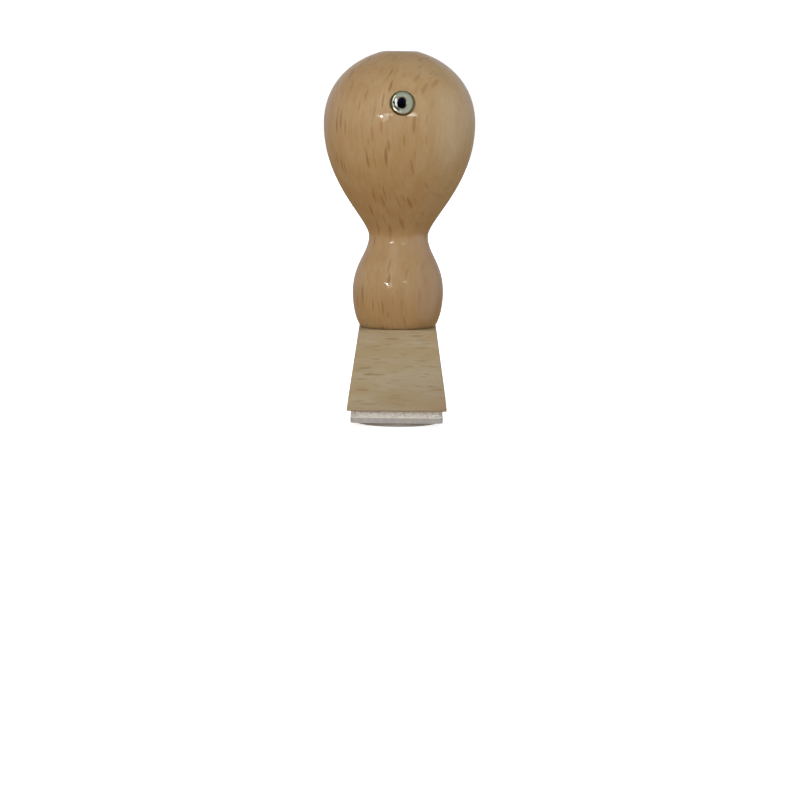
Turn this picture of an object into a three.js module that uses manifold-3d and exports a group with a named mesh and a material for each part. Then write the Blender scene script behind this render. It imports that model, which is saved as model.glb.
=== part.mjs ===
// A wooden hand stamp. A turned and lacquered beech handle is screwed from below to a
// tapered beech block, and a foam cushion and an engraved rubber die are stuck under the
// block with double-sided film. A nickel-plated eyelet in the head marks the front.
// Millimetres, +Z up. The origin is the centre of the die's printing face, which the
// stamp stands on, and the front with the eyelet faces -Y.

import * as THREE from "three";
import { mergeVertices, toCreasedNormals } from "three/addons/utils/BufferGeometryUtils.js";
import Module from "manifold-3d";

// Rubber die, engraved in one sheet
const reliefHeight = 1.0;
const reliefShoulder = 0.25;
const dieBacking = 1.3;
const dieSetIn = 1.0;
const dieCorner = 1.6;

// Printed design, a tulip in a ring
const ringMargin = 0.9;
const ringWidth = 2.3;
const flowerMargin = 1.3;
const cupWidth = 6.8;
const cupDepth = 5.0;
const petalCount = 3;
const petalHeight = 2.5;
const petalShoulder = 1.3;
const petalGap = 0.55;
const stemWidth = 1.3;
const leafSpread = 5.6;
const leafRise = 6.6;
const leafWidth = 2.3;
const leafBow = 0.7;

// Foam cushion, and the film on both its faces
const cushionThickness = 1.5;
const filmThickness = 0.15;

// Beech block, wider at its underside
const blockBase = 25;
const blockHeight = 20;
const blockFlankAngle = 8.2;
const blockCorner = 0.6;
const blockArris = 0.35;

// Turned handle: radii of its foot, belly, neck, head and crown, and the rise to each
const footRadius = 8.75;
const bellyRadius = 11.35;
const bellyRise = 8.7;
const neckRadius = 7.4;
const neckRise = 14;
const headRadius = 18.9;
const headRise = 28.1;
const crownRadius = 4.3;
const crownRise = 17.9;
const crownSlope = 15;

// How far past the block's front the handle stands, in degrees, where its screw came tight
const handleTurn = 2.2;

// How far each curve of the handle runs on before it turns, as a share of its own span
const footOutrun = 0.53;
const bellyUnderrun = 0.46;
const bellyOverrun = 0.515;
const neckUnderrun = 0.305;
const neckOverrun = 0.15;
const headUnderrun = 0.545;
const headOverrun = 0.54;
const crownOutrun = 0.545;

// Countersunk wood screw, driven up through the block into the handle
const screwLength = 35;
const screwRadius = 2.0;
const screwHeadRadius = 4.0;
const screwHeadRim = 0.4;
const screwPointLength = 5;
const screwHeadSink = 0.6;
const recessSpan = 4.4;
const recessWidth = 0.9;
const recessDepth = 2.2;

// Front marker: a rolled eyelet pressed into the head above its widest place, and square
// to its surface
const eyeletRise = 5.7;
const eyeletBore = 1.45;
const eyeletWall = 0.28;
const eyeletThroat = 0.75;
const eyeletRoll = 0.92;
const eyeletCrest = 0.7;
const eyeletBarrel = 6;
const eyeletSeatDepth = 0.36;

// Clearances: round holes, the eyelet's seat, and what a drill leaves past its piece
const holeGap = 0.3;
const eyeletRimGap = 0.2;
const eyeletSeatGap = 0.1;
const drillOvershoot = 1.5;
const drillPointAngle = 59;

// Steps of the round surfaces, around and along
const handleSegments = 64;
const footSteps = 9;
const neckSteps = 11;
const headSteps = 15;
const crownSteps = 14;
const holeSegments = 32;
const eyeletSegments = 40;
const rollSteps = 7;
const ringSegments = 64;
const cornerSteps = 5;
const petalSteps = 6;
const leafSteps = 10;

// Edges that are sharper than this stay crisp, and points nearer than this are one
const creaseAngle = 35;
const weldDistance = 1e-4;

// Heights of the layers above the surface that the stamp stands on
const dieSide = blockBase - 2 * dieSetIn;
const dieTop = reliefHeight + dieBacking;
const cushionFoot = dieTop + filmThickness;
const cushionTop = cushionFoot + cushionThickness;
const blockFoot = cushionTop + filmThickness;
const handleFoot = blockFoot + blockHeight;

// Heights on the handle above its foot
const neckHeight = bellyRise + neckRise;
const headHeight = neckHeight + headRise;
const handleHeight = headHeight + crownRise;
const eyeletHeight = headHeight + eyeletRise;

const wasm = await Module();
wasm.setup();

// A closed three.js geometry as a solid that can be joined and cut
function solid(geometry) {
  const bare = geometry.clone();
  bare.deleteAttribute("normal");
  bare.deleteAttribute("uv");
  const merged = mergeVertices(bare, weldDistance);
  return new wasm.Manifold(
    new wasm.Mesh({
      numProp: 3,
      vertProperties: new Float32Array(merged.attributes.position.array),
      triVerts: new Uint32Array(merged.index.array),
    }),
  );
}

// A solid as a three.js geometry, smooth but for its sharp edges
function surface(body) {
  const { numProp, numVert, vertProperties, triVerts } = body.getMesh();
  const positions = new Float32Array(numVert * 3);
  for (let i = 0; i < numVert; i++) {
    positions.set(vertProperties.subarray(i * numProp, i * numProp + 3), i * 3);
  }
  const geometry = new THREE.BufferGeometry();
  geometry.setAttribute("position", new THREE.BufferAttribute(positions, 3));
  geometry.setIndex(new THREE.BufferAttribute(triVerts, 1));
  return toCreasedNormals(geometry, THREE.MathUtils.degToRad(creaseAngle));
}

// A profile of [radius, height] points turned about +Z
function turned(profile, segments) {
  const points = profile.map(([radius, height]) => new THREE.Vector2(radius, height));
  return new THREE.LatheGeometry(points, segments).rotateX(Math.PI / 2);
}

// A drilled hole about +Z from below its mouth at height 0, with the drill's pointed end
function drilledHole(radius, depth) {
  const point = radius / Math.tan(THREE.MathUtils.degToRad(drillPointAngle));
  const profile = [
    [0, -radius],
    [radius, -radius],
    [radius, depth],
    [0, depth + point],
  ];
  return turned(profile, holeSegments);
}

// Points of a square with rounded corners, counter-clockwise
function roundedSquare(half, corner) {
  const points = [];
  for (let quarter = 0; quarter < 4; quarter++) {
    const diagonal = (quarter + 0.5) * (Math.PI / 2);
    const reach = (half - corner) * Math.SQRT2;
    for (let step = 0; step <= cornerSteps; step++) {
      const angle = (quarter + step / cornerSteps) * (Math.PI / 2);
      points.push([
        Math.cos(diagonal) * reach + Math.cos(angle) * corner,
        Math.sin(diagonal) * reach + Math.sin(angle) * corner,
      ]);
    }
  }
  return points;
}

// A closed body through rounded squares, given as [height, half side], from the lowest up
function squareLoft(levels, corner) {
  const rings = levels.map(([, half]) => roundedSquare(half, corner));
  const count = rings[0].length;
  const positions = [];
  const triangles = [];
  rings.forEach((ring, level) => {
    ring.forEach(([x, y]) => positions.push(x, y, levels[level][0]));
  });
  for (let level = 0; level + 1 < rings.length; level++) {
    for (let i = 0; i < count; i++) {
      const a = level * count + i;
      const b = level * count + ((i + 1) % count);
      triangles.push(a, b, b + count, a, b + count, a + count);
    }
  }
  const bottomCentre = positions.length / 3;
  const topCentre = bottomCentre + 1;
  const lastRing = (rings.length - 1) * count;
  positions.push(0, 0, levels[0][0], 0, 0, levels.at(-1)[0]);
  for (let i = 0; i < count; i++) {
    const next = (i + 1) % count;
    triangles.push(bottomCentre, next, i);
    triangles.push(topCentre, lastRing + i, lastRing + next);
  }
  const geometry = new THREE.BufferGeometry();
  geometry.setAttribute("position", new THREE.Float32BufferAttribute(positions, 3));
  geometry.setIndex(triangles);
  return geometry;
}

// A flat layer of the pad under the block, all layers being cut to one outline
function padLayer(bottom, top) {
  const levels = [
    [bottom, dieSide / 2],
    [top, dieSide / 2],
  ];
  return squareLoft(levels, dieCorner);
}

// The handle's outline from the rim of its foot to the rim of its crown, as four curves
// that meet upright at the belly, the neck and the head
const footCurve = new THREE.CubicBezierCurve(
  new THREE.Vector2(footRadius, 0),
  new THREE.Vector2(footRadius + footOutrun * (bellyRadius - footRadius), 0),
  new THREE.Vector2(bellyRadius, (1 - bellyUnderrun) * bellyRise),
  new THREE.Vector2(bellyRadius, bellyRise),
);
const neckCurve = new THREE.CubicBezierCurve(
  new THREE.Vector2(bellyRadius, bellyRise),
  new THREE.Vector2(bellyRadius, bellyRise + bellyOverrun * neckRise),
  new THREE.Vector2(neckRadius, neckHeight - neckUnderrun * neckRise),
  new THREE.Vector2(neckRadius, neckHeight),
);
const headCurve = new THREE.CubicBezierCurve(
  new THREE.Vector2(neckRadius, neckHeight),
  new THREE.Vector2(neckRadius, neckHeight + neckOverrun * headRise),
  new THREE.Vector2(headRadius, headHeight - headUnderrun * headRise),
  new THREE.Vector2(headRadius, headHeight),
);
const crownReach = crownOutrun * (headRadius - crownRadius);
const crownDrop = crownReach * Math.tan(THREE.MathUtils.degToRad(crownSlope));
const crownCurve = new THREE.CubicBezierCurve(
  new THREE.Vector2(headRadius, headHeight),
  new THREE.Vector2(headRadius, headHeight + headOverrun * crownRise),
  new THREE.Vector2(crownRadius + crownReach, handleHeight - crownDrop),
  new THREE.Vector2(crownRadius, handleHeight),
);

// Where the eyelet's axis leaves the head, and how steeply it points up there: the place
// on the crown's curve is closed in on by halving
function eyeletSeat() {
  let low = 0;
  let high = 1;
  while (high - low > weldDistance) {
    const middle = (low + high) / 2;
    if (crownCurve.getPoint(middle).y < eyeletHeight) low = middle;
    else high = middle;
  }
  const tangent = crownCurve.getTangent(low);
  return { radius: crownCurve.getPoint(low).x, tilt: Math.atan2(-tangent.x, tangent.y) };
}

// Puts a piece made about +Z, with its mouth at height 0, on the eyelet's place in the head
function placeAtEyelet(object) {
  const { radius, tilt } = eyeletSeat();
  const turn = THREE.MathUtils.degToRad(handleTurn);
  object.rotation.set(Math.PI / 2 - tilt, 0, turn, "ZYX");
  object.position.set(Math.sin(turn) * radius, -Math.cos(turn) * radius, handleFoot + eyeletHeight);
  object.updateMatrixWorld(true);
  return object;
}

const eyeletRimRadius = eyeletBore + eyeletThroat + eyeletRoll;
const eyeletBarrelRadius = eyeletBore + eyeletWall;

// The handle, with the screw's pilot hole, the eyelet's hole and the flat that its rim sits on
function handleGeometry() {
  const curves = [
    [footCurve, footSteps],
    [neckCurve, neckSteps],
    [headCurve, headSteps],
    [crownCurve, crownSteps],
  ];
  const profile = [new THREE.Vector2(0, 0), footCurve.getPoint(0)];
  for (const [curve, steps] of curves) profile.push(...curve.getPoints(steps).slice(1));
  profile.push(new THREE.Vector2(0, handleHeight));
  const blank = new THREE.LatheGeometry(profile, handleSegments).rotateX(Math.PI / 2);
  const pilotDepth = screwHeadSink + screwLength - blockHeight + drillOvershoot;
  const pilot = drilledHole(screwRadius + holeGap, pilotDepth);
  const eyeletHole = new THREE.Mesh(
    drilledHole(eyeletBarrelRadius + holeGap, eyeletSeatDepth + eyeletBarrel + drillOvershoot)
      .rotateX(Math.PI),
  );
  const seatRadius = eyeletRimRadius + eyeletRimGap;
  const seatCut = new THREE.Mesh(
    new THREE.CylinderGeometry(seatRadius, seatRadius, seatRadius, eyeletSegments)
      .rotateX(Math.PI / 2)
      .translate(0, 0, seatRadius / 2 - eyeletSeatDepth),
  );
  let body = solid(blank.translate(0, 0, handleFoot));
  body = body.subtract(solid(pilot.translate(0, 0, handleFoot)));
  for (const cutter of [eyeletHole, seatCut]) {
    placeAtEyelet(cutter);
    body = body.subtract(solid(cutter.geometry.clone().applyMatrix4(cutter.matrixWorld)));
  }
  return surface(body);
}

// The eyelet: a tube whose mouth is rolled outwards, of one wall thickness throughout
function eyeletGeometry() {
  const crestRadius = eyeletBore + eyeletThroat;
  // A half-round roll from the bore to the rim, drawn in by a share of the wall
  function roll(inset) {
    const points = [];
    for (let step = 0; step <= 2 * rollSteps; step++) {
      const angle = Math.PI * (1 - step / (2 * rollSteps));
      const reach = (step < rollSteps ? eyeletThroat : eyeletRoll) - inset;
      points.push([
        crestRadius + Math.cos(angle) * reach,
        Math.sin(angle) * (eyeletCrest - inset),
      ]);
    }
    return points;
  }
  const profile = [
    [eyeletBore, -eyeletBarrel],
    [eyeletBarrelRadius, -eyeletBarrel],
    ...roll(eyeletWall),
    ...roll(0).reverse(),
    [eyeletBore, -eyeletBarrel],
  ];
  return surface(solid(turned(profile, eyeletSegments)));
}

// The block: a square that tapers upwards, with the screw's hole and its countersink below
function blockGeometry() {
  const taper = Math.tan(THREE.MathUtils.degToRad(blockFlankAngle));
  const halfAt = (height) => blockBase / 2 - height * taper;
  const shoulder = blockHeight - blockArris;
  const levels = [
    [0, halfAt(0) - blockArris],
    [blockArris, halfAt(blockArris)],
    [shoulder, halfAt(shoulder)],
    [blockHeight, halfAt(blockHeight) - blockArris],
  ];
  const blank = squareLoft(levels, blockCorner);
  const sinkRadius = screwHeadRadius + holeGap;
  const shankRadius = screwRadius + holeGap;
  const coneFoot = screwHeadSink + screwHeadRim;
  const holeProfile = [
    [0, -sinkRadius],
    [sinkRadius, -sinkRadius],
    [sinkRadius, coneFoot],
    [shankRadius, coneFoot + sinkRadius - shankRadius],
    [shankRadius, blockHeight + shankRadius],
    [0, blockHeight + shankRadius],
  ];
  const hole = turned(holeProfile, holeSegments);
  const body = solid(blank).subtract(solid(hole));
  return surface(body).translate(0, 0, blockFoot);
}

// The screw, its drive face at height 0 and its point up, with a cross recess
function screwGeometry() {
  const shankFoot = screwHeadRim + screwHeadRadius - screwRadius;
  const profile = [
    [0, 0],
    [screwHeadRadius, 0],
    [screwHeadRadius, screwHeadRim],
    [screwRadius, shankFoot],
    [screwRadius, screwLength - screwPointLength],
    [0, screwLength],
  ];
  let body = solid(turned(profile, holeSegments));
  const wing = new THREE.Shape([
    new THREE.Vector2(-recessSpan / 2, -recessWidth),
    new THREE.Vector2(recessSpan / 2, -recessWidth),
    new THREE.Vector2(recessSpan / 2, 0),
    new THREE.Vector2(recessWidth / 2, recessDepth),
    new THREE.Vector2(-recessWidth / 2, recessDepth),
    new THREE.Vector2(-recessSpan / 2, 0),
  ]);
  for (const turn of [0, Math.PI / 2]) {
    const slot = new THREE.ExtrudeGeometry(wing, { depth: recessWidth, bevelEnabled: false })
      .translate(0, 0, -recessWidth / 2)
      .rotateX(Math.PI / 2)
      .rotateZ(turn);
    body = body.subtract(solid(slot));
  }
  return surface(body);
}

// The blossom: a cup hanging from the height of its rim, with pointed petals on the rim
function blossomShape(rim) {
  const petalWidth = (cupWidth - (petalCount - 1) * petalGap) / petalCount;
  const shape = new THREE.Shape();
  shape.absellipse(0, rim, cupWidth / 2, cupDepth, Math.PI, 2 * Math.PI);
  for (let petal = petalCount - 1; petal >= 0; petal--) {
    const left = petal * (petalWidth + petalGap) - cupWidth / 2;
    const right = left + petalWidth;
    const shoulder = rim + petalShoulder;
    shape.lineTo(right, rim);
    shape.quadraticCurveTo(right, shoulder, left + petalWidth / 2, rim + petalHeight);
    shape.quadraticCurveTo(left, shoulder, left, rim);
  }
  return shape;
}

// A leaf from the stem's foot to a tip on one side, -1 or 1: both its edges bow outwards
// from the straight line between them, the outer one more and the inner one less
function leafShape(side, foot) {
  const middle = new THREE.Vector2(side * leafSpread, leafRise).divideScalar(2);
  const outwards = new THREE.Vector2(side * leafRise, -leafSpread).normalize();
  const outer = middle.clone().addScaledVector(outwards, leafBow + leafWidth);
  const inner = middle.clone().addScaledVector(outwards, leafBow - leafWidth);
  const shape = new THREE.Shape();
  shape.moveTo(0, foot);
  shape.quadraticCurveTo(outer.x, foot + outer.y, side * leafSpread, foot + leafRise);
  shape.quadraticCurveTo(inner.x, foot + inner.y, 0, foot);
  return shape;
}

// The printed design: each shape is raised from the backing, wider at its root
function designShapes() {
  const ringOuter = dieSide / 2 - ringMargin;
  const ringInner = ringOuter - ringWidth;
  const ring = new THREE.Shape().absarc(0, 0, ringOuter, 0, 2 * Math.PI);
  ring.holes.push(new THREE.Path().absarc(0, 0, ringInner, 0, 2 * Math.PI, true));
  const flowerReach = ringInner - flowerMargin;
  const cupRim = flowerReach - petalHeight;
  const stem = new THREE.Shape([
    new THREE.Vector2(-stemWidth / 2, -flowerReach),
    new THREE.Vector2(stemWidth / 2, -flowerReach),
    new THREE.Vector2(stemWidth / 2, cupRim),
    new THREE.Vector2(-stemWidth / 2, cupRim),
  ]);
  return [
    [ring, ringSegments / 2],
    [stem, 1],
    [blossomShape(cupRim), petalSteps],
    [leafShape(-1, -flowerReach), leafSteps],
    [leafShape(1, -flowerReach), leafSteps],
  ];
}

// The die: its backing sheet with the design standing below it
function dieGeometry() {
  const root = reliefHeight + dieBacking / 2;
  const below = solid(
    new THREE.BoxGeometry(dieSide, dieSide, root).translate(0, 0, root / 2),
  );
  let body = solid(padLayer(reliefHeight, dieTop));
  for (const [shape, steps] of designShapes()) {
    const raised = new THREE.ExtrudeGeometry(shape, {
      depth: dieBacking,
      curveSegments: steps,
      bevelThickness: reliefHeight,
      bevelSize: reliefShoulder,
      bevelSegments: 1,
    });
    body = body.add(solid(raised.translate(0, 0, reliefHeight)).intersect(below));
  }
  return surface(body);
}

const lacqueredBeech = new THREE.MeshStandardMaterial({ color: 0xb28e62, roughness: 0.28 });
const bareBeech = new THREE.MeshStandardMaterial({ color: 0xb09c78, roughness: 0.75 });
const nickel = new THREE.MeshStandardMaterial({ color: 0xb9b8a6, roughness: 0.22, metalness: 1 });
const zincSteel = new THREE.MeshStandardMaterial({ color: 0xa8a9ad, roughness: 0.4, metalness: 1 });
const foam = new THREE.MeshStandardMaterial({ color: 0xd6d3cb, roughness: 0.95 });
const film = new THREE.MeshStandardMaterial({ color: 0xd9d5c4, roughness: 0.5 });
const rubber = new THREE.MeshStandardMaterial({ color: 0xa2a19f, roughness: 0.8 });

function named(name, geometry, material) {
  const mesh = new THREE.Mesh(geometry, material);
  mesh.name = name;
  return mesh;
}

const stamp = new THREE.Group();

stamp.add(named("rubber_die", dieGeometry(), rubber));
stamp.add(named("die_film", padLayer(dieTop, cushionFoot), film));
stamp.add(named("foam_cushion", padLayer(cushionFoot, cushionTop), foam));
stamp.add(named("cushion_film", padLayer(cushionTop, blockFoot), film));
stamp.add(named("block", blockGeometry(), bareBeech));
stamp.add(named("handle", handleGeometry(), lacqueredBeech));

const screw = named("handle_screw", screwGeometry(), zincSteel);
screw.position.z = blockFoot + screwHeadSink;
stamp.add(screw);

const eyeletGroup = placeAtEyelet(new THREE.Group());
const eyelet = named("front_eyelet", eyeletGeometry(), nickel);
eyelet.position.z = eyeletSeatGap - eyeletSeatDepth;
eyeletGroup.add(eyelet);
stamp.add(eyeletGroup);

export default stamp;
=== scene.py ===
import math

import bmesh
import bpy
import numpy as np
from mathutils import Matrix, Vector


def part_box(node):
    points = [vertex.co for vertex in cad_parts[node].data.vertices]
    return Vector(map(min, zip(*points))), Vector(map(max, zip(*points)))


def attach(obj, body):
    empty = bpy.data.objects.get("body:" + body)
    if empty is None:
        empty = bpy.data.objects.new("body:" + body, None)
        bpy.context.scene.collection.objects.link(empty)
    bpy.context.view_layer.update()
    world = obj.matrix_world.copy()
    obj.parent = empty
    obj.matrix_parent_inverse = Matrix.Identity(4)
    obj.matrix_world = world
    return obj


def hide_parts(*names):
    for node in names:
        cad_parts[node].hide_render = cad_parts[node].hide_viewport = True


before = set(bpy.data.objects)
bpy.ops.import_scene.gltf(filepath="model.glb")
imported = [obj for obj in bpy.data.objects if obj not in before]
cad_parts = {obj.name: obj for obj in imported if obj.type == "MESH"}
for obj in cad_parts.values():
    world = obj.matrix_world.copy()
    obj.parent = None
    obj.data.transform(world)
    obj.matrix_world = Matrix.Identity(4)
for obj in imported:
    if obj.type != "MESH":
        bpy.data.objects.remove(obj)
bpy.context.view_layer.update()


# Block: a beech square sawn to a taper and sanded, but not lacquered, with its long grain
# running across the front. The screw's hole comes up through it from a countersink below.
MM = 0.001
block_low, block_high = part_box("block")
BLOCK_HALF = 12.5 * MM
BLOCK_FLANK_ANGLE = math.radians(8.2)
BLOCK_CORNER = 0.6 * MM
BLOCK_ARRIS = 0.35 * MM
ARRIS_STEPS = 5
FLANK_STEPS = 12
SIDE_STEPS = 24
CORNER_STEPS = 6
HOLE_CORNER_TURN = 0.1
SCREW_HOLE_RADIUS = 2.3 * MM
SCREW_SINK_RADIUS = 4.3 * MM
SCREW_SINK_DEPTH = 1.0 * MM

BLOCK_GRAIN = np.array([1.0, 0.0, 0.0])
BLOCK_RAY_TIP = math.radians(12)
BLOCK_RAY = np.array([0.0, math.cos(BLOCK_RAY_TIP), math.sin(BLOCK_RAY_TIP)])
BLOCK_FIGURE = 1.1
BARE_FLECK_SIZE = (4.0, 0.48, 3.0)
BARE_BEECH = (0.402, 0.342, 0.243)
BARE_BEECH_WARM = (0.37, 0.29, 0.17)
BARE_BEECH_BROWN = (0.31, 0.235, 0.125)
BARE_FLECK = (0.22, 0.145, 0.07)
BARE_FLECK_RED = (0.30, 0.165, 0.07)
BLOCK_DARK_TONE = (0.275, 0.213, 0.132)
BLOCK_WARM_DARK_TONE = (0.31, 0.195, 0.105)

# Darker, warmer patches, low down and most at the right, in the low right front corner, and
# at the upper end: the direction that it is measured in, how uneven it is, where it begins
# and is full, its share and its colour.
DARK_PATCH_NOISE = (0.12, 0.0, 0.2)
BLOCK_DARK_PATCHES = (
    ((-0.45, 0, 1), 8.0, (20.0, 7.0), 0.36, BLOCK_DARK_TONE),
    ((0.035, -0.02, -0.075), 0.4, (0.1, 0.75), 0.8, BLOCK_WARM_DARK_TONE),
    ((0, 0, 1), 2.0, (21.5, 25.0), 0.30, BLOCK_WARM_DARK_TONE),
)

# Patterns of beech: how many blobs of each lie in a millimetre across the grain, along the
# rays and down the grain, where in its noise it begins and is full, and its share.
GRAIN_WANDER, WANDER_REACH = (0.12, 0.12, 0.05), 2.0
BANDS = (0.10, 0.50, 0.03)
CLOUDS = (0.24, 0.24, 0.13)
WARM_EDGE = (0.36, 0.64)
STREAKS, STREAK_EDGE, STREAK_SHARE = (0.8, 0.5, 0.08), (0.42, 0.70), 0.22
HAIRS, HAIR_EDGE, HAIR_SHARE = (2.6, 1.3, 0.20), (0.42, 0.68), 0.20
PORES, PORE_EDGE, PORE_SHARE = (6.0, 4.0, 0.40), (0.56, 0.76), 0.08
PORE_DEPTH = 0.5

# Flecks of beech, in two layers, the second one of shorter ones. The noise that bends them
# and makes them ragged has so many blobs to a millimetre, their edge and spacing are in
# sizes of a fleck, and red ones have random numbers from RED_LOTS upwards.
FLECK_WANDER, FLECK_WANDER_REACH = (0.11, 0.11, 0.07), 1.6
RAGS, RAGGEDNESS = (3.0, 0.7, 1.1), 0.3
FLECK_EDGE = (0.82, 0.45)
LEAST_FLECK = 0.55
FAINTEST_FLECK = 0.35
SHORTER = (0.55, 0.60, 0.7)
FIRST_SPACING, FIRST_SHARE = 1.6, 0.72
SECOND_SPACING, SECOND_SHARE = 2.2, 0.50
RED_LOTS = (0.55, 0.85)
QUARTERED_LOSS = 0.75
FLECK_DEPTH = 0.35


class Shade:
    """One output of a shader node. Arithmetic on it adds Math nodes to the same tree."""

    def __init__(self, socket):
        self.socket = socket

    def node(self, kind, settings, inputs, output=0):
        """Adds a node to this output's tree, with its settings first and then the values
        or links of its sockets, and gives one of its outputs."""
        tree = self.socket.id_data
        added = tree.nodes.new("ShaderNode" + kind)
        for name, value in settings.items():
            setattr(added, name, value)
        for name, value in inputs.items():
            if isinstance(value, Shade):
                tree.links.new(value.socket, added.inputs[name])
            else:
                added.inputs[name].default_value = value
        return Shade(added.outputs[output]) if added.outputs else None

    def math(self, operation, *others):
        return self.node("Math", {"operation": operation}, dict(enumerate((self, *others))))

    def __add__(self, other):
        return self.math("ADD", other)

    def __sub__(self, other):
        return self.math("SUBTRACT", other)

    def __rsub__(self, other):
        return self.math("MULTIPLY_ADD", -1.0, other)

    def __mul__(self, other):
        return self.math("MULTIPLY", other)

    def __truediv__(self, other):
        return self.math("DIVIDE", other)

    __radd__ = __add__
    __rmul__ = __mul__

    def along(self, direction):
        """How far this vector reaches along a direction."""
        vectors = {0: self, 1: tuple(direction)}
        return self.node("VectorMath", {"operation": "DOT_PRODUCT"}, vectors, "Value")

    def vector(self, x, y, z):
        """A vector of three values, each a number or an output in this output's tree."""
        return self.node("CombineXYZ", {}, {0: x, 1: y, 2: z})

    def noise(self, detail=2.0, roughness=0.5):
        """Smooth noise from about 0 to 1 with one blob to each unit of this vector."""
        sockets = {"Vector": self, "Scale": 1.0, "Detail": detail, "Roughness": roughness}
        return self.node("TexNoise", {}, sockets)

    def step(self, low, high):
        """0 below low, 1 above high and a smooth ramp between them, also if low > high."""
        sockets = {0: self, 1: low, 2: high}
        return self.node("MapRange", {"interpolation_type": "SMOOTHSTEP"}, sockets)

    def mix(self, first, second):
        """The first colour where this is 0 and the second where it is 1."""
        colours = [c if isinstance(c, Shade) else (*c, 1.0) for c in (first, second)]
        sockets = {0: self, 6: colours[0], 7: colours[1]}
        return self.node("Mix", {"data_type": "RGBA"}, sockets, 2)

    def bump(self, distance, strength=1.0):
        """The surface's normal with this as its height, 1 being distance high."""
        sockets = {"Height": self, "Distance": distance, "Strength": strength}
        return self.node("Bump", {}, sockets)


def new_finish(name):
    """A new material, and its Object coordinates in millimetres."""
    material = bpy.data.materials.new(name)
    material.use_nodes = True
    tree = material.node_tree
    tree.nodes.clear()
    metres = Shade(tree.nodes.new("ShaderNodeTexCoord").outputs["Object"])
    sockets = {0: metres, "Scale": 1 / MM}
    return material, metres.node("VectorMath", {"operation": "SCALE"}, sockets)


def cover(place, sockets):
    """Ends a material in one Principled shader with these sockets."""
    shader = place.node("BsdfPrincipled", {}, sockets)
    place.node("OutputMaterial", {}, {"Surface": shader})


def pattern(lie, density, detail=2.0):
    """Smooth noise with so many blobs to a millimetre in each of three directions. lie is
    how far a place reaches in each of them."""
    scaled = [part * share for part, share in zip(lie, density)]
    return scaled[0].vector(*scaled).noise(detail)


def flecks(lie, size, spacing):
    """Cut rays of the wood, as spindles long down the grain, thin across it and deep along
    the rays: how strongly each shows, from 0 to 1, and a random number for it. A spindle is
    what lies within a random share of the size, less a ragged edge, from the nearest of
    many scattered points, which are so many times the size apart as spacing says."""
    across, inward, down = lie
    length, width, depth = size
    wander = FLECK_WANDER_REACH * pattern(lie, FLECK_WANDER)
    cells = across.vector((across + wander) / width, inward / depth, down / length)
    sockets = {"Vector": cells, "Scale": 1 / spacing}
    nearest = cells.node("TexVoronoi", {}, sockets, "Distance")
    lots = nearest.node("SeparateColor", {}, {0: Shade(nearest.socket.node.outputs["Color"])})
    lot, other_lot, size_lot = (Shade(lots.socket.node.outputs[i]) for i in range(3))
    reach = nearest * spacing / (LEAST_FLECK + (1 - LEAST_FLECK) * size_lot)
    core = (reach + RAGGEDNESS * pattern(lie, RAGS)).step(*FLECK_EDGE)
    return core * (FAINTEST_FLECK + (1 - FAINTEST_FLECK) * lot), other_lot


def beech(place, grain, ray, size, colours, figure):
    """Beech as a solid: its colour, and its height for a bump. Bands and clouds turn it warm,
    and streaks, hair-fine lines and pores run down the grain. Its cut rays are flecks of
    this size, which fade on faces that lie along the rays, where they would be broad
    patches. All but the bands and clouds are as strong as figure, a number or an output."""
    pale, warm, brown, dark, red = colours
    tangent = np.cross(grain, ray)
    lie = [place.along(axis) for axis in (tangent, ray, grain)]
    across, inward, down = lie
    wander = WANDER_REACH * pattern(lie, GRAIN_WANDER)
    bent, deep = across + wander, inward + wander

    band = pattern((across, deep, down), BANDS, detail=3.0)
    cloud = pattern(lie, CLOUDS, detail=3.0)
    streak = pattern((bent, deep, down), STREAKS).step(*STREAK_EDGE)
    hair = pattern((bent, deep, down), HAIRS, detail=3.0).step(*HAIR_EDGE)
    pore = pattern((bent, deep, down), PORES).step(*PORE_EDGE)

    facing = place.node("TexCoord", {}, {}, "Normal").along(tangent)
    flecked = figure * (1.0 - QUARTERED_LOSS * facing * facing)
    short = tuple(part * share for part, share in zip(size, SHORTER))
    first, first_lot = flecks(lie, size, FIRST_SPACING)
    second, second_lot = flecks(lie, short, SECOND_SPACING)

    wood = (0.5 * band + 0.5 * cloud).step(*WARM_EDGE).mix(pale, warm)
    for share, colour in (
        (streak * STREAK_SHARE * figure, brown),
        (hair * HAIR_SHARE * figure, brown),
        (pore * PORE_SHARE * figure, dark),
        (first * FIRST_SHARE * flecked, first_lot.step(*RED_LOTS).mix(dark, red)),
        (second * SECOND_SHARE * flecked, second_lot.step(*RED_LOTS).mix(dark, red)),
    ):
        wood = share.mix(wood, colour)
    return wood, 1.0 - PORE_DEPTH * pore - FLECK_DEPTH * first


def bend(start, corner, end, steps):
    """Points of a round bend from start to end, drawn towards the corner between them. The
    three are weighted by (1 - t)^2, 2 (1 - t) t and t^2, with t from 0 to 1."""
    t = np.linspace(0, 1, steps + 1)[:, None]
    return (1 - t) ** 2 * start + 2 * t * (1 - t) * corner + t**2 * end


def square_path(side_steps, corner_steps):
    """A square's outline with round corners, as two arrays of vectors: a point at a corner
    radius c on a square of half side h is (h - c) * centre + c * outward."""
    slide = np.linspace(-1, 1, side_steps, endpoint=False)
    turn = np.linspace(0, math.pi / 2, corner_steps + 1)
    side = np.stack([np.ones_like(slide), slide], axis=1)
    centre = np.concatenate([side, np.ones((corner_steps + 1, 2))])
    facing = np.tile([1.0, 0.0], (side_steps, 1))
    outward = np.concatenate([facing, np.stack([np.cos(turn), np.sin(turn)], axis=1)])
    quarters = [np.eye(2), [[0, 1], [-1, 0]], -np.eye(2), [[0, -1], [1, 0]]]
    return (
        np.concatenate([centre @ quarter for quarter in quarters]),
        np.concatenate([outward @ quarter for quarter in quarters]),
    )


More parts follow.
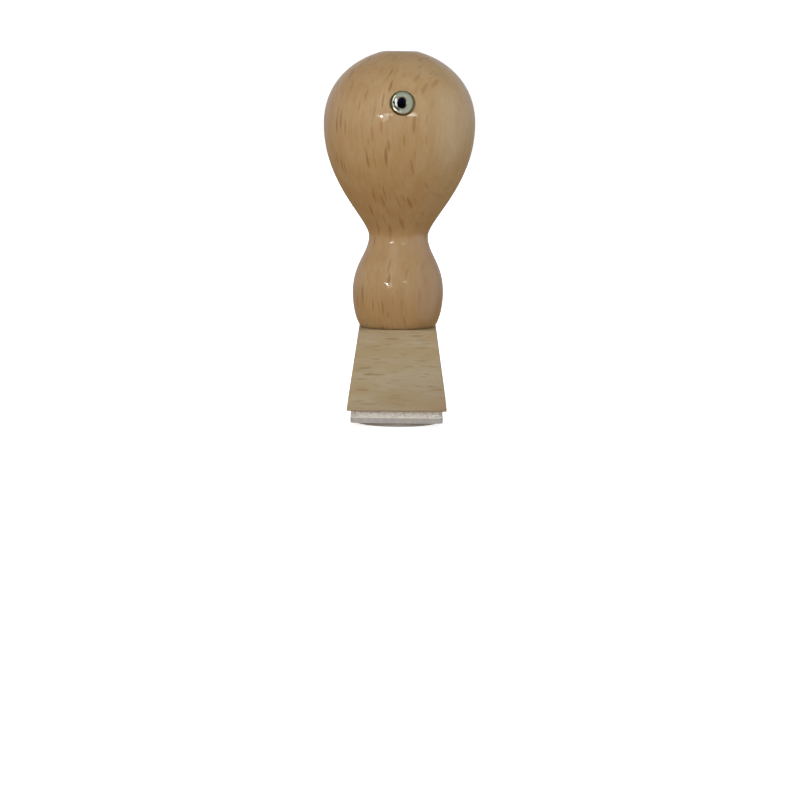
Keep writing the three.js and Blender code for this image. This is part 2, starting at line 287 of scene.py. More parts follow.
def square_rings(profile, corner, path):
    """A profile of (half side, height) carried round a square with round corners, along a
    path from square_path."""
    centre, outward = path
    half, height = profile.T[:, :, None]
    flat = (half[..., None] - corner) * centre + corner * outward
    return np.dstack([flat, np.broadcast_to(height, flat.shape[:2])])


def circle_rings(profile, path):
    """A profile of (radius, height) carried round a circle, in step with a square's path:
    each point is in the direction of centre + a little of outward, which keeps the points
    of a corner apart."""
    centre, outward = path
    reach = centre + HOLE_CORNER_TURN * outward
    reach = reach / np.linalg.norm(reach, axis=1)[:, None]
    radius, height = profile.T[:, :, None]
    flat = radius[..., None] * reach
    return np.dstack([flat, np.broadcast_to(height, flat.shape[:2])])


def grid_piece(name, points, material, sharp=35, joined=False):
    """A piece whose faces join a grid of points, whose rows are closed rings. joined
    closes the last row on the first one. Rings of no size become a single point."""
    rows, columns, _ = points.shape
    index = np.arange(rows * columns).reshape(rows, columns)
    if joined:
        index = np.vstack([index, index[:1]])
    index = np.hstack([index, index[:, :1]])
    corners = [index[:-1, :-1], index[:-1, 1:], index[1:, 1:], index[1:, :-1]]
    faces = np.stack(corners, axis=-1).reshape(-1, 4)
    mesh = bpy.data.meshes.new(name)
    mesh.from_pydata(points.reshape(-1, 3).tolist(), [], faces.tolist())
    shape = bmesh.new()
    shape.from_mesh(mesh)
    bmesh.ops.remove_doubles(shape, verts=shape.verts, dist=1e-7)
    bmesh.ops.recalc_face_normals(shape, faces=shape.faces)
    shape.to_mesh(mesh)
    shape.free()
    mesh.shade_smooth()
    mesh.set_sharp_from_angle(angle=math.radians(sharp))
    mesh.materials.append(material)
    piece = bpy.data.objects.new(name, mesh)
    bpy.context.scene.collection.objects.link(piece)
    return piece


bare_beech, place = new_finish("bare_beech")
wood, relief = beech(
    place, BLOCK_GRAIN, BLOCK_RAY, BARE_FLECK_SIZE,
    (BARE_BEECH, BARE_BEECH_WARM, BARE_BEECH_BROWN, BARE_FLECK, BARE_FLECK_RED),
    BLOCK_FIGURE,
)
patches = pattern([place.along(axis) for axis in np.eye(3)], DARK_PATCH_NOISE, detail=3.0)
# The block darker and warmer in patches: low down, in its low right front corner and at its
# upper end.
for direction, unevenness, edge, share, colour in BLOCK_DARK_PATCHES:
    darkened = (place.along(direction) + unevenness * patches).step(*edge)
    wood = (darkened * share).mix(wood, colour)
cover(place, {
    "Base Color": wood,
    "Roughness": 0.78,
    "Specular IOR Level": 0.3,
    "Normal": relief.bump(0.00004, 0.6),
})

foot, top = block_low.z, block_high.z
lean = math.tan(BLOCK_FLANK_ANGLE)
half_top = BLOCK_HALF - lean * (top - foot)
arris = np.array([BLOCK_ARRIS, 0])
rise = np.array([-lean, 1]) * BLOCK_ARRIS
low_edge, high_edge = np.array([BLOCK_HALF, foot]), np.array([half_top, top])
block_outside = np.concatenate([
    bend(low_edge - arris, low_edge, low_edge + rise, ARRIS_STEPS),
    np.linspace(low_edge + rise, high_edge - rise, FLANK_STEPS)[1:-1],
    bend(high_edge - rise, high_edge, high_edge - arris, ARRIS_STEPS),
])
cone = SCREW_SINK_RADIUS - SCREW_HOLE_RADIUS
block_hole = np.array([
    [SCREW_HOLE_RADIUS, top],
    [SCREW_HOLE_RADIUS, foot + SCREW_SINK_DEPTH + cone],
    [SCREW_SINK_RADIUS, foot + SCREW_SINK_DEPTH],
    [SCREW_SINK_RADIUS, foot],
])
square = square_path(SIDE_STEPS, CORNER_STEPS)
block_points = np.concatenate([
    circle_rings(block_hole, square),
    square_rings(block_outside, BLOCK_CORNER, square),
])
block = grid_piece("beech_block", block_points, bare_beech, joined=True)
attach(block, "root")
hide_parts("block")


# Handle: one piece of beech turned on a lathe and dipped in clear gloss lacquer, with a
# hole in its foot for the screw and one in its head for the eyelet. It stands on the block.
handle_low, handle_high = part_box("handle")
FOOT_RADIUS = 8.75 * MM
BELLY_RADIUS = 11.35 * MM
BELLY_RISE = 8.7 * MM
NECK_RADIUS = 7.4 * MM
NECK_RISE = 14.0 * MM
HEAD_RADIUS = 18.9 * MM
HEAD_RISE = 28.1 * MM
CROWN_RADIUS = 4.3 * MM
CROWN_SLOPE = math.radians(15)
FOOT_OUTRUN = 0.53
BELLY_UNDERRUN = 0.46
BELLY_OVERRUN = 0.515
NECK_UNDERRUN = 0.305
NECK_OVERRUN = 0.15
HEAD_UNDERRUN = 0.545
HEAD_OVERRUN = 0.54
CROWN_OUTRUN = 0.545
PILOT_DEPTH = 17.1 * MM
PILOT_POINT = 1.4 * MM
EYELET_RISE = 5.7 * MM
EYELET_TURN = math.radians(2.2)
EYELET_HOLE_RADIUS = 1.9 * MM
EYELET_HOLE_DEPTH = 8.0 * MM
EYELET_HOLE_EDGE = 2.7 * MM
SEAT_EDGE = 2.8 * MM
SEAT_RADIUS = 3.08 * MM
SEAT_DEPTH = 0.1 * MM
FOOT_STEPS = 28
NECK_STEPS = 40
HEAD_STEPS = 60
CROWN_STEPS = 170
HANDLE_COLUMNS = 256
FRONT_CROWDING = 0.75

HANDLE_GRAIN = np.array([0.0, 0.0, 1.0])
HANDLE_RAY_TURN = math.radians(30)
HANDLE_RAY = np.array([math.sin(HANDLE_RAY_TURN), math.cos(HANDLE_RAY_TURN), 0.0])
FLECK_SIZE = (5.4, 0.80, 3.8)
BEECH_HONEY = (0.438, 0.302, 0.152)
BEECH_WARM = (0.415, 0.263, 0.115)
BEECH_BROWN = (0.33, 0.19, 0.075)
# Painted shade low down.
LOW_SHADE_TONE = (0.27, 0.175, 0.09)
# A browner patch low down at the right.
LOW_RIGHT_TAN = (0.27, 0.13, 0.03)
# Painted cool light at the right.
COOL_LIGHT_TINT = (0.36, 0.30, 0.16)
BEECH_FLECK = (0.20, 0.087, 0.022)
BEECH_FLECK_RED = (0.28, 0.10, 0.022)
# Pooled lacquer and painted shade round the eyelet's flange.
POOL_SHADE = (0.035, 0.028, 0.018)

# Where the handle's colour changes: painted shade low down and at the crown, painted cool
# light at the right, a stronger figure low down and a browner patch low at the right. The
# millimetres at which a change begins and is full, in height, to the right or along a
# direction, and its share there.
BROWN_HEIGHT, BROWN_SHARE = (72.0, 40.0), 0.22
CROWN_LEFT, CROWN_LEFT_EDGE, CROWN_LEFT_SHARE = (-0.8, 0, 1), (84.0, 95.0), 0.17
GREY_RIGHT, GREY_SHARE = (2.0, 10.0), 0.14
LOW_HEIGHT, LOW_FIGURE = (55.0, 43.0), 0.4
DIM_SHARE, DIM_LEFT, DIM_LEFT_LOSS = 0.20, (-2.0, -9.0), 0.10
TAN_RIGHT, TAN_SHARE = (1.5, 8.0), 0.48

# Pooled lacquer and painted shade round the eyelet: how far they reach sideways and
# inwards, in millimetres, and how much less they reach up and down.
POOL_SHADE_EDGE, POOL_SHADE_DEPTH, POOL_SHADE_FLATNESS = (3.32, 3.02), (-12.0, -11.0), 1.22


def cubic(start, lead, trail, end, steps):
    """Points of a cubic curve from start to end, which it leaves towards lead and reaches
    from trail. The four are weighted by (1 - t)^3, 3 (1 - t)^2 t, 3 (1 - t) t^2 and t^3,
    with t from 0 to 1."""
    t = np.linspace(0, 1, steps + 1)[:, None]
    return (
        (1 - t) ** 3 * start + 3 * (1 - t) ** 2 * t * lead
        + 3 * (1 - t) * t**2 * trail + t**3 * end
    )


def turned(profile, angles):
    """A profile of (radius, height) turned about +Z, with a column at each angle a, which
    is counted from the front: (radius sin a, -radius cos a, height)."""
    radius, height = profile.T[:, :, None]
    around = radius * np.stack([np.sin(angles), -np.cos(angles)])[:, None]
    return np.stack([*around, np.broadcast_to(height, around[0].shape)], axis=-1)


def ramp(value, low, high):
    """0 at low, 1 at high and smooth between them: 3 t^2 - 2 t^3, where t is the share of
    the way from low to high."""
    t = np.clip((value - low) / (high - low), 0, 1)
    return t * t * (3 - 2 * t)


base = handle_low.z
belly, neck = base + BELLY_RISE, base + BELLY_RISE + NECK_RISE
head, crown = neck + HEAD_RISE, handle_high.z
crown_reach = CROWN_OUTRUN * (HEAD_RADIUS - CROWN_RADIUS)
crown_rise = crown - head
foot_curve = cubic(
    np.array([FOOT_RADIUS, base]),
    np.array([FOOT_RADIUS + FOOT_OUTRUN * (BELLY_RADIUS - FOOT_RADIUS), base]),
    np.array([BELLY_RADIUS, belly - BELLY_UNDERRUN * BELLY_RISE]),
    np.array([BELLY_RADIUS, belly]),
    FOOT_STEPS,
)
neck_curve = cubic(
    np.array([BELLY_RADIUS, belly]),
    np.array([BELLY_RADIUS, belly + BELLY_OVERRUN * NECK_RISE]),
    np.array([NECK_RADIUS, neck - NECK_UNDERRUN * NECK_RISE]),
    np.array([NECK_RADIUS, neck]),
    NECK_STEPS,
)
head_curve = cubic(
    np.array([NECK_RADIUS, neck]),
    np.array([NECK_RADIUS, neck + NECK_OVERRUN * HEAD_RISE]),
    np.array([HEAD_RADIUS, head - HEAD_UNDERRUN * HEAD_RISE]),
    np.array([HEAD_RADIUS, head]),
    HEAD_STEPS,
)
crown_curve = cubic(
    np.array([HEAD_RADIUS, head]),
    np.array([HEAD_RADIUS, head + HEAD_OVERRUN * crown_rise]),
    np.array([CROWN_RADIUS + crown_reach, crown - crown_reach * math.tan(CROWN_SLOPE)]),
    np.array([CROWN_RADIUS, crown]),
    CROWN_STEPS,
)
pilot = np.array([
    [0, base + PILOT_DEPTH + PILOT_POINT],
    [SCREW_HOLE_RADIUS, base + PILOT_DEPTH],
    [SCREW_HOLE_RADIUS, base],
])
handle_profile = np.concatenate([
    pilot, foot_curve, neck_curve[1:], head_curve[1:], crown_curve[1:], [[0, crown]]
])

even = np.linspace(-math.pi, math.pi, HANDLE_COLUMNS, endpoint=False)
handle_points = turned(handle_profile, even - FRONT_CROWDING * np.sin(even))

# The eyelet's seat: on the head's surface at its height, with its axis square to the
# surface there.
seat_height = head + EYELET_RISE
near = np.searchsorted(crown_curve[:, 1], seat_height)
slope = crown_curve[near] - crown_curve[near - 1]
seat_reach = np.interp(seat_height, crown_curve[:, 1], crown_curve[:, 0])
eyelet_tilt = math.atan2(-slope[0], slope[1])
eyelet_front = np.array([math.sin(EYELET_TURN), -math.cos(EYELET_TURN), 0])
eyelet_across = np.array([math.cos(EYELET_TURN), math.sin(EYELET_TURN), 0])
eyelet_axis = math.cos(eyelet_tilt) * eyelet_front + np.array([0, 0, math.sin(eyelet_tilt)])
eyelet_up = np.cross(eyelet_axis, eyelet_across)
eyelet_seat = seat_reach * eyelet_front + np.array([0, 0, seat_height])


def around_eyelet(place):
    """Where a place lies from the eyelet's seat, in millimetres: out along its axis,
    sideways, and upwards along the surface."""
    sockets = {0: place, 1: tuple(eyelet_seat / MM)}
    offset = place.node("VectorMath", {"operation": "SUBTRACT"}, sockets)
    return offset.along(eyelet_axis), offset.along(eyelet_across), offset.along(eyelet_up)


# Its hole and its seat sink the surface along that axis, on the front only.
offset = handle_points - eyelet_seat
level = offset @ eyelet_axis
spread = np.linalg.norm(offset - level[..., None] * eyelet_axis, axis=-1)
sink = EYELET_HOLE_DEPTH * ramp(-spread, -EYELET_HOLE_EDGE, -EYELET_HOLE_RADIUS)
sink += SEAT_DEPTH * ramp(-spread, -SEAT_RADIUS, -SEAT_EDGE)
sink *= level > -EYELET_HOLE_RADIUS
handle_points -= sink[..., None] * eyelet_axis

lacquered_beech, place = new_finish("lacquered_beech")
height, aside = place.along((0, 0, 1)), place.along((1, 0, 0))
low_down = height.step(*LOW_HEIGHT)
wood, relief = beech(
    place, HANDLE_GRAIN, HANDLE_RAY, FLECK_SIZE,
    (BEECH_HONEY, BEECH_WARM, BEECH_BROWN, BEECH_FLECK, BEECH_FLECK_RED),
    1.0 + LOW_FIGURE * low_down,
)
out, sideways, upwards = around_eyelet(place)
pool_shade_oval = (sideways * sideways + POOL_SHADE_FLATNESS * upwards * upwards).math("SQRT")
for share, colour in (
    # Painted shade: browner towards the bottom.
    (height.step(*BROWN_HEIGHT) * BROWN_SHARE, BEECH_BROWN),
    # Painted shade: browner at the top of the crown, most at its left.
    (place.along(CROWN_LEFT).step(*CROWN_LEFT_EDGE) * CROWN_LEFT_SHARE, BEECH_BROWN),
    # Painted cool light: greyer at the right.
    (aside.step(*GREY_RIGHT) * GREY_SHARE, COOL_LIGHT_TINT),
    # Painted shade: darker low down, less at the left.
    (low_down * (DIM_SHARE - DIM_LEFT_LOSS * aside.step(*DIM_LEFT)), LOW_SHADE_TONE),
    # Browner and darker low down at the right.
    (low_down * aside.step(*TAN_RIGHT) * TAN_SHARE, LOW_RIGHT_TAN),
    # Pooled lacquer and painted shade round the eyelet's flange, most at its sides.
    (pool_shade_oval.step(*POOL_SHADE_EDGE) * out.step(*POOL_SHADE_DEPTH), POOL_SHADE),
):
    wood = share.mix(wood, colour)
cover(place, {
    "Base Color": wood,
    "Roughness": 0.5,
    "Specular IOR Level": 0.3,
    "Coat Weight": 0.75,
    "Coat Roughness": 0.06,
    "Coat IOR": 1.5,
    "Normal": relief.bump(0.00003, 0.04),
})
handle = grid_piece("turned_handle", handle_points, lacquered_beech)
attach(handle, "root")
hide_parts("handle")


# Screw: a countersunk wood screw of zinc-plated steel, driven up through the block into the
# handle, with its head sunk in the block's underside. Its thread winds up to the point.
screw_low, screw_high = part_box("handle_screw")
screw_length = screw_high.z - screw_low.z
SCREW_RADIUS = 2.0 * MM
SCREW_HEAD_RADIUS = 4.0 * MM
SCREW_HEAD_RIM = 0.4 * MM
SCREW_POINT = 5.0 * MM
SCREW_SHANK = 13.0 * MM
SCREW_COLUMNS = 96
FACE_RINGS = 40
CONE_RINGS = 5
SHANK_RINGS = 240
THREAD_PITCH = 1.8 * MM
THREAD_DEPTH = 0.55 * MM
THREAD_SHARPNESS = 0.28
RECESS_SPAN = 4.4 * MM
RECESS_WIDTH = 0.9 * MM
RECESS_DEPTH = 2.2 * MM
RECESS_EDGE = 0.05 * RECESS_WIDTH
ZINC = (0.66, 0.67, 0.70)
ZINC_DULL = (0.52, 0.52, 0.50)


def threaded(height, around):
    """The screw's radius at a height above its drive face and an angle: its shank, or its
    point's cone, less the groove between two turns of a thread. The groove is deepest half
    a turn from a crest, and climbs by the pitch each turn."""
    cone = (screw_length - height) * SCREW_RADIUS / SCREW_POINT
    turn = (height / THREAD_PITCH - around / (2 * math.pi)) % 1
    crest = np.clip(1 - np.abs(turn - 0.5) / THREAD_SHARPNESS, 0, 1)
    cut_in = THREAD_DEPTH * ramp(height, SCREW_SHANK, SCREW_SHANK + THREAD_PITCH)
    return np.minimum(SCREW_RADIUS, cone) * (1 - cut_in / SCREW_RADIUS * (1 - crest))


def cross_recess(radius, around):
    """How deep the cross is cut at a place on the drive face: the deeper of two slots, each
    deepening steadily from its ends to its middle."""
    along, aside = radius * np.abs(np.cos(around)), radius * np.abs(np.sin(around))
    half_span, half_width = RECESS_SPAN / 2, RECESS_WIDTH / 2
    slots = [
        np.clip((half_span - one) / (half_span - half_width), 0, 1)
        * ramp(-other, -half_width - RECESS_EDGE, -half_width + RECESS_EDGE)
        for one, other in ((along, aside), (aside, along))
    ]
    return RECESS_DEPTH * np.maximum(*slots)


zinc, place = new_finish("zinc")
dulled = place.noise(4.0)
cover(place, {
    "Base Color": dulled.step(0.4, 0.65).mix(ZINC, ZINC_DULL),
    "Metallic": 1.0,
    "Roughness": 0.25 + 0.25 * dulled,
})
around = np.linspace(-math.pi, math.pi, SCREW_COLUMNS, endpoint=False)
face = np.linspace(0, SCREW_HEAD_RADIUS, FACE_RINGS)[:, None]
cone_top = SCREW_HEAD_RIM + SCREW_HEAD_RADIUS - SCREW_RADIUS
cone_height = np.linspace(SCREW_HEAD_RIM, cone_top, CONE_RINGS)[:, None]
cone_radius = SCREW_HEAD_RADIUS + SCREW_HEAD_RIM - cone_height
shank = np.linspace(cone_top, screw_length, SHANK_RINGS)[1:, None]
screw_radius = np.concatenate([
    np.broadcast_to(part, (len(part), len(around)))
    for part in (face, cone_radius, threaded(shank, around))
])
screw_height = np.concatenate([
    np.broadcast_to(part, (len(part), len(around)))
    for part in (cross_recess(face, around), cone_height, shank)
])
screw_points = np.dstack([
    screw_radius * np.cos(around), screw_radius * np.sin(around), screw_low.z + screw_height
])
screw = grid_piece("wood_screw", screw_points, zinc)
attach(screw, "root")
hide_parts("handle_screw")


# Eyelet: thin brass sheet drawn to a tube, rolled over at its mouth and plated with nickel.
# It is pressed into the head, with its flange square to the surface, and marks the front.
EYELET_BORE = 1.45 * MM
EYELET_WALL = 0.28 * MM
EYELET_THROAT = 0.75 * MM
EYELET_ROLL = 0.92 * MM
EYELET_CREST = 0.7 * MM
EYELET_BARREL = 6.0 * MM
EYELET_THROAT_DEPTH = 1.0 * MM
EYELET_SET = -0.26 * MM
RIM_SQUARENESS = 2.2
THROAT_SQUARENESS = 4.5
WORN_SQUARENESS = 1.2
WORN_RISE = 0.38 * MM
WORN_EDGE = (0.2, 0.8)
EYELET_NARROWING = 1.12
EYELET_PINCH = 0.25
EYELET_PINCH_RIGHT = 0.58
ROLL_POINTS = 41
EYELET_COLUMNS = 128
CREST_RADIUS = EYELET_BORE + EYELET_THROAT
NICKEL = (1.0, 0.98, 0.88)
NICKEL_WORN = (0.84, 0.86, 0.75)
NICKEL_DULL = (0.49, 0.535, 0.445)
# Colours for painted shade: the throat where it faces down, the rim's edge, black for shade
# in the throat and a painted dark reflection, and the deep bore, tinted blue.
NICKEL_SHADED = (0.60, 0.66, 0.62)
RIM_SHADE = (0.20, 0.165, 0.08)
SHADE_BLACK = (0.02, 0.018, 0.012)
BORE = (0.30, 0.32, 0.62)

# Where the plating is dulled, and where shade and a dark reflection are painted on it, in
# millimetres from the seat. An edge is where a finish begins and where it is full: the
# groove's in its own widths, and the painted shade underneath's in how far the surface
# faces up.
GROOVE_RADIUS, GROOVE_RAISED, GROOVE_EDGE = 2.11, 0.1, (1.2, 0.5)
GROOVE_WIDTH, GROOVE_WIDER_LEVEL, GROOVE_WIDER_BELOW = 0.11, 0.23, 0.18
LEVEL_EDGE, LEVEL_CORE_EDGE, BELOW_EDGE = (0.6, 0.0), (0.6, 0.1), (-0.4, -1.0)
GROOVE_LEFT_EDGE, GROOVE_LEFT_LEAN = (-0.9, -1.4), 0.25
DULL_EDGE, DULL_ABOVE_EDGE, DULL_ABOVE_LEAN = (-1.0, -0.1), (-0.9, -0.3), 0.6
UNDER_EDGE, THROAT_EDGE = (0.15, -0.10), (2.1, 1.9)
RIM_EDGE, RIM_FLATNESS = (2.76, 2.92), 1.36
SINK_EDGE, SINK_LEFT_EDGE = (0.10, -0.12), (0.4, -0.2)
BORE_EDGE = (-0.5, -0.8)
DARK_REFLECTION_SHARE = 0.90


def eyelet_mouth(inset, around):
    """The rolled mouth from the bore out to the rim, drawn in by a share of the wall, as its
    radius and height at each angle around, counted from the top. Either side of its crest is
    a curve (x / a)^p + (y / b)^p = 1, and the larger p is, the steeper is its edge. The bore
    is pinched in at both sides, and worn to a cone at the left."""
    turn = np.linspace(math.pi, 0, ROLL_POINTS)[:, None]
    throat = turn > math.pi / 2
    aside = np.sin(around)
    pinch = EYELET_NARROWING + EYELET_PINCH * aside**2
    pinch = pinch + EYELET_PINCH_RIGHT * np.maximum(aside, 0) ** 2
    worn = ramp(-aside, *WORN_EDGE)
    squareness = THROAT_SQUARENESS + worn * (WORN_SQUARENESS - THROAT_SQUARENESS)
    power = np.where(throat, 2 / squareness, 2 / RIM_SQUARENESS)
    reach = np.where(throat, EYELET_THROAT * pinch, EYELET_ROLL) - inset
    drop = np.where(throat, EYELET_THROAT_DEPTH - WORN_RISE * worn, EYELET_CREST) - inset
    radius = CREST_RADIUS + np.sign(np.cos(turn)) * reach * np.abs(np.cos(turn)) ** power
    height = EYELET_CREST - inset - drop * (1 - np.abs(np.sin(turn)) ** power)
    return radius, height


nickel, place = new_finish("nickel")
scuffs = place.noise(3.0)
out, sideways, upwards = around_eyelet(place)
oval = (RIM_FLATNESS * sideways * sideways + upwards * upwards).math("SQRT")
raised = upwards - GROOVE_RAISED
ring = (sideways * sideways + raised * raised).math("SQRT")
aloft = upwards.math("ABSOLUTE")
groove_width = (
    GROOVE_WIDTH + GROOVE_WIDER_LEVEL * aloft.step(*LEVEL_EDGE)
    + GROOVE_WIDER_BELOW * upwards.step(*BELOW_EDGE)
)
groove = (ring - GROOVE_RADIUS).math("ABSOLUTE") / groove_width
at_left = (sideways + GROOVE_LEFT_LEAN * upwards).step(*GROOVE_LEFT_EDGE)
# A painted dark reflection in a band round the left of the mouth.
dark_reflection = groove.step(*GROOVE_EDGE) * at_left
dull_above = (sideways + DULL_ABOVE_LEAN * upwards).step(*DULL_ABOVE_EDGE)
dull = sideways.step(*DULL_EDGE).math("MAXIMUM", dull_above)
under = place.node("TexCoord", {}, {}, "Normal").along((0, 0, 1)).step(*UNDER_EDGE)
plating = scuffs.step(0.35, 0.7).mix(NICKEL, NICKEL_WORN)
for share, colour in (
    (dull, NICKEL_DULL),
    # Painted shade on the throat where it faces down.
    (under * oval.step(*THROAT_EDGE), NICKEL_SHADED),
    # Painted shade round the rim's edge, where it meets the wood.
    (oval.step(*RIM_EDGE), RIM_SHADE),
    # Painted dark reflection in a band at the left.
    (dark_reflection * (DARK_REFLECTION_SHARE + (1 - DARK_REFLECTION_SHARE) * aloft.step(*LEVEL_CORE_EDGE)), SHADE_BLACK),
    # Painted shade down in the throat at the left.
    (out.step(*SINK_EDGE) * sideways.step(*SINK_LEFT_EDGE), SHADE_BLACK),
    # Painted shade deep in the bore, tinted blue.
    (out.step(*BORE_EDGE), BORE),
):
    plating = share.mix(plating, colour)
cover(place, {
    "Base Color": plating,
    "Metallic": 1.0,
    "Roughness": 0.10 + 0.1 * scuffs + 0.4 * (dark_reflection + dull),
})
around = np.linspace(-math.pi, math.pi, EYELET_COLUMNS, endpoint=False)
skin, lining = eyelet_mouth(0, around), eyelet_mouth(EYELET_WALL, around)
barrel_foot = np.full((1, len(around)), -EYELET_BARREL)
eyelet_radius = np.concatenate([
    np.full((1, len(around)), EYELET_BORE), skin[0],
    lining[0][::-1], np.full((1, len(around)), EYELET_BORE + EYELET_WALL),
])
eyelet_height = np.concatenate([barrel_foot, skin[1], lining[1][::-1], barrel_foot])
rings = np.dstack([
    eyelet_radius * np.sin(around), -eyelet_radius * np.cos(around), eyelet_height
])
eyelet_frame = np.stack([eyelet_across, -eyelet_up, eyelet_axis])
eyelet_points = rings @ eyelet_frame + eyelet_seat + EYELET_SET * eyelet_axis
eyelet = grid_piece("nickel_eyelet", eyelet_points, nickel, sharp=50, joined=True)
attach(eyelet, "root")
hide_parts("front_eyelet")


# Foam cushion: a thin sheet of open-celled foam, cut to the die's outline. It lies between
# two double-sided films and lets the die meet the paper evenly.
cushion_low, cushion_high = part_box("foam_cushion")
PAD_CORNER = 1.6 * MM
PAD_DRAWN_IN = 0.12 * MM
PAD_SIDE_STEPS = 10
FOAM = (0.72, 0.70, 0.65)
FOAM_CELL = (0.52, 0.50, 0.46)
CELLS_PER_MM = 3.6

foam, place = new_finish("foam")
bubbles = place.node("TexVoronoi", {}, {"Vector": place, "Scale": CELLS_PER_MM}, "Distance")
cell = bubbles.step(0.2, 0.55)
cover(place, {
    "Base Color": cell.mix(FOAM_CELL, FOAM),
    "Roughness": 0.95,
    "Specular IOR Level": 0.15,
    "Normal": cell.bump(0.00012),
})
pad_half = cushion_high.x
pad_middle = (cushion_low.z + cushion_high.z) / 2
side = bend(
    np.array([pad_half, cushion_low.z]),
    np.array([pad_half - 2 * PAD_DRAWN_IN, pad_middle]),
    np.array([pad_half, cushion_high.z]),
    PAD_SIDE_STEPS,
)
flat_bottom = np.array([[PAD_CORNER, cushion_low.z]])
flat_top = np.array([[PAD_CORNER, cushion_high.z]])
cushion_points = square_rings(
    np.concatenate([flat_bottom, side, flat_top]), PAD_CORNER, square
)
centre_low = np.broadcast_to([0, 0, cushion_low.z], cushion_points[:1].shape)
centre_high = np.broadcast_to([0, 0, cushion_high.z], cushion_points[:1].shape)
cushion = grid_piece(
    "foam_pad", np.concatenate([centre_low, cushion_points, centre_high]), foam
)
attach(cushion, "root")
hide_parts("foam_cushion")


# Films: clear double-sided film, cut with the foam, above it and below it.
FILM = (0.66, 0.63, 0.54)
FILM_HAZE = (0.74, 0.71, 0.62)

film, place = new_finish("film")
haze = place.noise()
cover(place, {
    "Base Color": haze.mix(FILM, FILM_HAZE),
    "Roughness": 0.35 + 0.2 * haze,
})
for node in ("cushion_film", "die_film"):
    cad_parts[node].material_slots[0].material = film


# Die: rubber sheet, engraved by laser with the design and glued below the foam. Its
# backing shows as an edge under the block, and it is matt and slightly dusty.
RUBBER = (0.36, 0.355, 0.345)
RUBBER_DUST = (0.42, 0.415, 0.40)

rubber, place = new_finish("rubber")
dust = place.noise(6.0, 0.65)
cover(place, {
    "Base Color": dust.step(0.4, 0.7).mix(RUBBER, RUBBER_DUST),
    "Roughness": 0.72 + 0.15 * dust,
    "Specular IOR Level": 0.35,
    "Normal": dust.bump(0.00003, 0.5),
})
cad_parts["rubber_die"].material_slots[0].material = rubber


# Floor: a white sheet that the stamp stands on, and a white cloth all round and overhead,
# as the photograph's ground. Only the camera sees them, so they light nothing.
SHEET_RADIUS = 3.0
SHEET_HEIGHT = -0.05 * MM
SHEET_COLUMNS = 64
CLOTH_RINGS = 32


def camera_only(thing):
    """Hides a piece of the studio from everything but the camera."""
    thing.visible_diffuse = False
    thing.visible_glossy = False
    thing.visible_transmission = False
    thing.visible_shadow = False


sheet_finish, place = new_finish("white_sheet")
cover(place, {
    "Base Color": (0.8, 0.8, 0.8, 1.0),
    "Roughness": 0.9,
    "Specular IOR Level": 0.0,
    "Emission Color": (1.0, 1.0, 1.0, 1.0),
    "Emission Strength": 0.78,
})
round_about = np.linspace(-math.pi, math.pi, SHEET_COLUMNS, endpoint=False)
sheet_profile = np.array([[0, SHEET_HEIGHT], [SHEET_RADIUS, SHEET_HEIGHT]])
camera_only(grid_piece("white_sheet", turned(sheet_profile, round_about), sheet_finish))

cloth_finish, place = new_finish("white_cloth")
glow = place.node("Emission", {}, {"Color": (1.0, 1.0, 1.0, 1.0), "Strength": 1.05})
place.node("OutputMaterial", {}, {"Surface": glow})
rise = np.linspace(-math.pi / 2, math.pi / 2, CLOTH_RINGS)
cloth_profile = SHEET_RADIUS * np.stack([np.cos(rise), np.sin(rise)], axis=1)
camera_only(grid_piece("white_cloth", turned(cloth_profile, round_about), cloth_finish))


# Light: a dim grey room over a brown table, which the lacquer reflects at its edges, soft
# light from the front, the left and behind, and lamps that show only as reflections.
AIM = np.array([0.0, 0.0, (neck + crown) / 2])
ROOM = (0.40, 0.40, 0.40)
ROOM_BEHIND = (0.50, 0.48, 0.50)
CEILING = (0.26, 0.25, 0.25)
TABLE = (0.30, 0.19, 0.10)
WINDOW_WALL = (0.97, 1.02, 1.05)
HIGH_WINDOW = (1.15, 1.15, 1.0)


def toward(azimuth, elevation):
    """The direction of an azimuth, counted from the front to the right, and an elevation."""
    azimuth, elevation = math.radians(azimuth), math.radians(elevation)
    level = math.cos(elevation)
    return (level * math.sin(azimuth), -level * math.cos(azimuth), math.sin(elevation))


def lamp(
    name, azimuth, elevation, distance, size, power, colour, tilt=0, grid=180, lift=0
):
    """A rectangular lamp that faces the head. Azimuth is counted from the front, to the
    right, and elevation from the level, both in degrees; size is its width and height in
    metres, and power is in watts. Tilt turns it about its own axis. A grid narrows its
    light to that many degrees, and a lift aims it higher by as many, so that it shows in
    the head and hardly in the belly, or the other way about below 0."""
    data = bpy.data.lights.new(name, "AREA")
    data.shape = "RECTANGLE"
    data.size, data.size_y = size
    data.energy = power
    data.color = colour
    data.spread = math.radians(grid)
    turn = Matrix.Rotation(math.radians(azimuth), 4, "Z")
    tip = Matrix.Rotation(math.radians(90 - elevation), 4, "X")
    away = Matrix.Translation((0, 0, distance))
    raised = Matrix.Rotation(math.radians(lift), 4, "X")
    twist = Matrix.Rotation(math.radians(tilt), 4, "Z")
    made = bpy.data.objects.new(name, data)
    made.matrix_world = Matrix.Translation(AIM) @ turn @ tip @ away @ raised @ twist
    bpy.context.scene.collection.objects.link(made)
    return made


world = bpy.data.worlds.new("room")
bpy.context.scene.world = world
world.use_nodes = True
tree = world.node_tree
direction = Shade(tree.nodes.new("ShaderNodeTexCoord").outputs["Generated"])

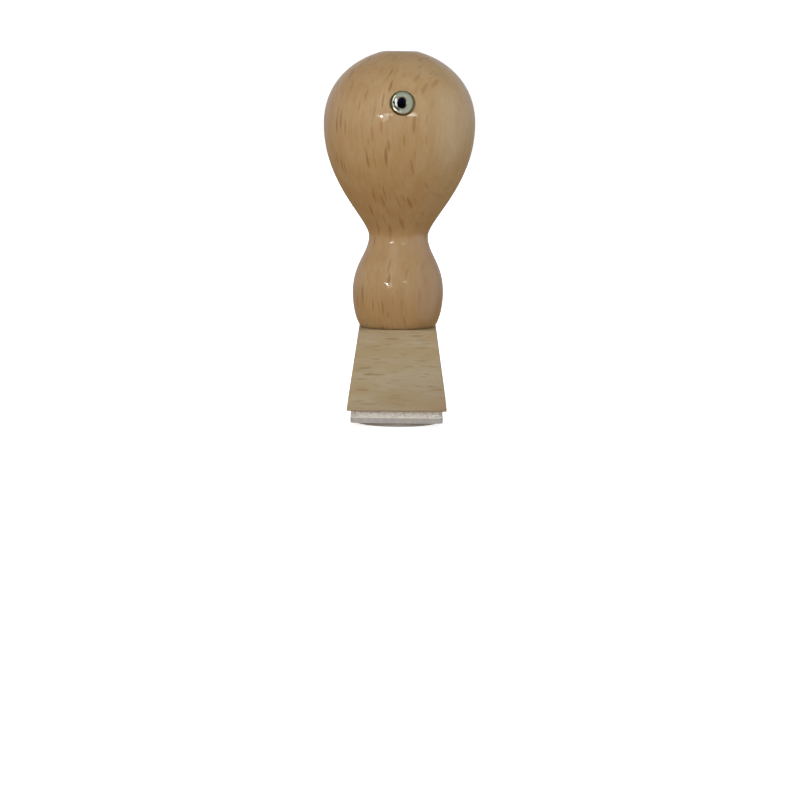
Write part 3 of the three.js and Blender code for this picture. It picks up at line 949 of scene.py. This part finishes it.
# Each part of the room lies about a direction, and the edge of its cone is in cosines.
room = direction.along(toward(180, 0)).step(0.1, 0.6).mix(ROOM, ROOM_BEHIND)
for share, colour in (
    (direction.along((0, 0, 1)).step(0.25, 0.65), CEILING),
    (direction.along((0, 0, 1)).step(0.1, -0.3), TABLE),
    (direction.along(toward(83, 8)).step(0.65, 0.94), WINDOW_WALL),
    (direction.along(toward(-20, 40)).step(0.94, 0.985), HIGH_WINDOW),
):
    room = share.mix(room, colour)
tree.links.new(room.socket, tree.nodes["Background"].inputs["Color"])

for unseen in (
    lamp("soft_front", -5, 22, 0.8, (1.0, 0.8), power=5.0, colour=(1.0, 0.985, 0.96)),
    lamp("soft_left", -90, 5, 1.4, (1.0, 1.0), power=5.2, colour=(1.0, 0.99, 0.97)),
    lamp("soft_back", 180, 25, 1.2, (1.0, 0.8), power=5.0, colour=(1.0, 0.985, 0.96)),
):
    unseen.visible_glossy = False
for reflected in (
    lamp(
        "left_lamp", -27.6, 11.4, 1.6, (0.075, 0.065),
        power=1.45, colour=(1.0, 0.95, 0.91),
    ),
    lamp(
        "left_small_lamp", -33.0, 11.9, 0.8, (0.035, 0.030),
        power=0.0015, colour=(1.0, 0.93, 0.88), grid=20, lift=-6,
    ),
    lamp(
        "left_window", -22.5, 10, 1.6, (0.34, 0.26),
        power=0.95, colour=(0.97, 1.0, 0.90), tilt=25,
    ),
    lamp(
        "left_strip", -16, 15, 0.5, (0.106, 0.026),
        power=0.0020, colour=(1.0, 1.0, 0.90), grid=26, lift=8,
    ),
    lamp(
        "right_window", 19.2, 15.3, 0.5, (0.118, 0.044),
        power=0.0072, colour=(0.93, 1.0, 0.93), grid=26, lift=8,
    ),
):
    reflected.visible_diffuse = False


# Camera: a long lens, a little above the knob and tipped down to it, held slightly askew.
CAMERA_DISTANCE = 0.800
CAMERA_HEIGHT = 0.10677
CAMERA_ASIDE = 0.0008
CAMERA_PITCH = 7.22
CAMERA_ROLL = 0.57
LENS_MM = 144.0
SENSOR_MM = 36.0

camera_data = bpy.data.cameras.new("camera")
camera_data.lens = LENS_MM
camera_data.sensor_width = SENSOR_MM
camera_data.clip_start = 0.01
camera_data.clip_end = 20.0
camera = bpy.data.objects.new("camera", camera_data)
place_behind = Matrix.Translation((CAMERA_ASIDE, -CAMERA_DISTANCE, CAMERA_HEIGHT))
tip = Matrix.Rotation(math.radians(90 - CAMERA_PITCH), 4, "X")
roll = Matrix.Rotation(math.radians(CAMERA_ROLL), 4, "Z")
camera.matrix_world = place_behind @ tip @ roll
bpy.context.scene.collection.objects.link(camera)
bpy.context.scene.camera = camera
bpy.context.scene.view_settings.view_transform = "Standard"
